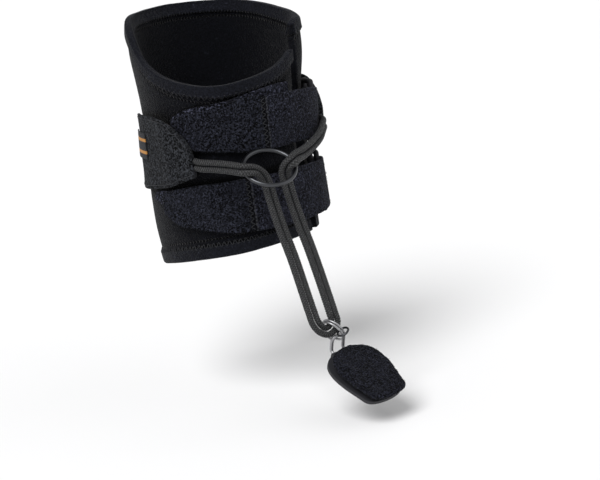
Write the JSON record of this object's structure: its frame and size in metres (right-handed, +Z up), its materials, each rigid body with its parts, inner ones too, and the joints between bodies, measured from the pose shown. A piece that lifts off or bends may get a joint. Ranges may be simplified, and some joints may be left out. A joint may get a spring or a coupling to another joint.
{
  "type": "foot drop brace",
  "caption": "Padded ankle cuff with fold-back straps and elastic cords that run through a ring to a clip under shoe laces, worn to lift the front of the foot.",
  "frame": {"origin": "centre of the cuff on the axis of the leg, 48 mm above its front lower rim", "axes": "+Z up the leg, toes towards -Y, the cuff opens at its front on the +X side"},
  "size_m": [0.1059, 0.1705, 0.2158],
  "materials": {
    "cuff_foam": "matte knit face over foam",
    "binding": "folded woven tape",
    "fuzzy_loop": "brushed loop fabric",
    "strap_tip": "brushed loop fabric with stitching",
    "plastic": "moulded, slight sheen",
    "webbing": "woven webbing",
    "tab_fabric": "brushed fabric",
    "hook_tape": "hook tape",
    "badge": "plain woven label",
    "cord": "braided cover",
    "steel": "polished wire"
  },
  "bodies": {
    "root": {"cuff": "cuff_foam", "top_binding": "binding", "bottom_binding": "binding", "upper_under_layer": "fuzzy_loop", "lower_under_layer": "fuzzy_loop", "upper_strap": "fuzzy_loop", "lower_strap": "fuzzy_loop", "upper_strap_tip": "strap_tip", "lower_strap_tip": "strap_tip", "upper_buckle": "plastic", "lower_buckle": "plastic", "upper_webbing_loop": "webbing", "lower_webbing_loop": "webbing", "left_tab": "tab_fabric", "right_tab": "tab_fabric", "left_tab_hook": "hook_tape", "right_tab_hook": "hook_tape", "badge": "badge", "inner_cord": "cord", "outer_cord": "cord", "gathering_ring": "steel", "split_ring": "steel", "link_ring": "steel", "bail": "steel", "lace_pad": "fuzzy_loop", "lace_plate": "plastic", "clip_lug": "plastic"}
  },
  "joints": []
}
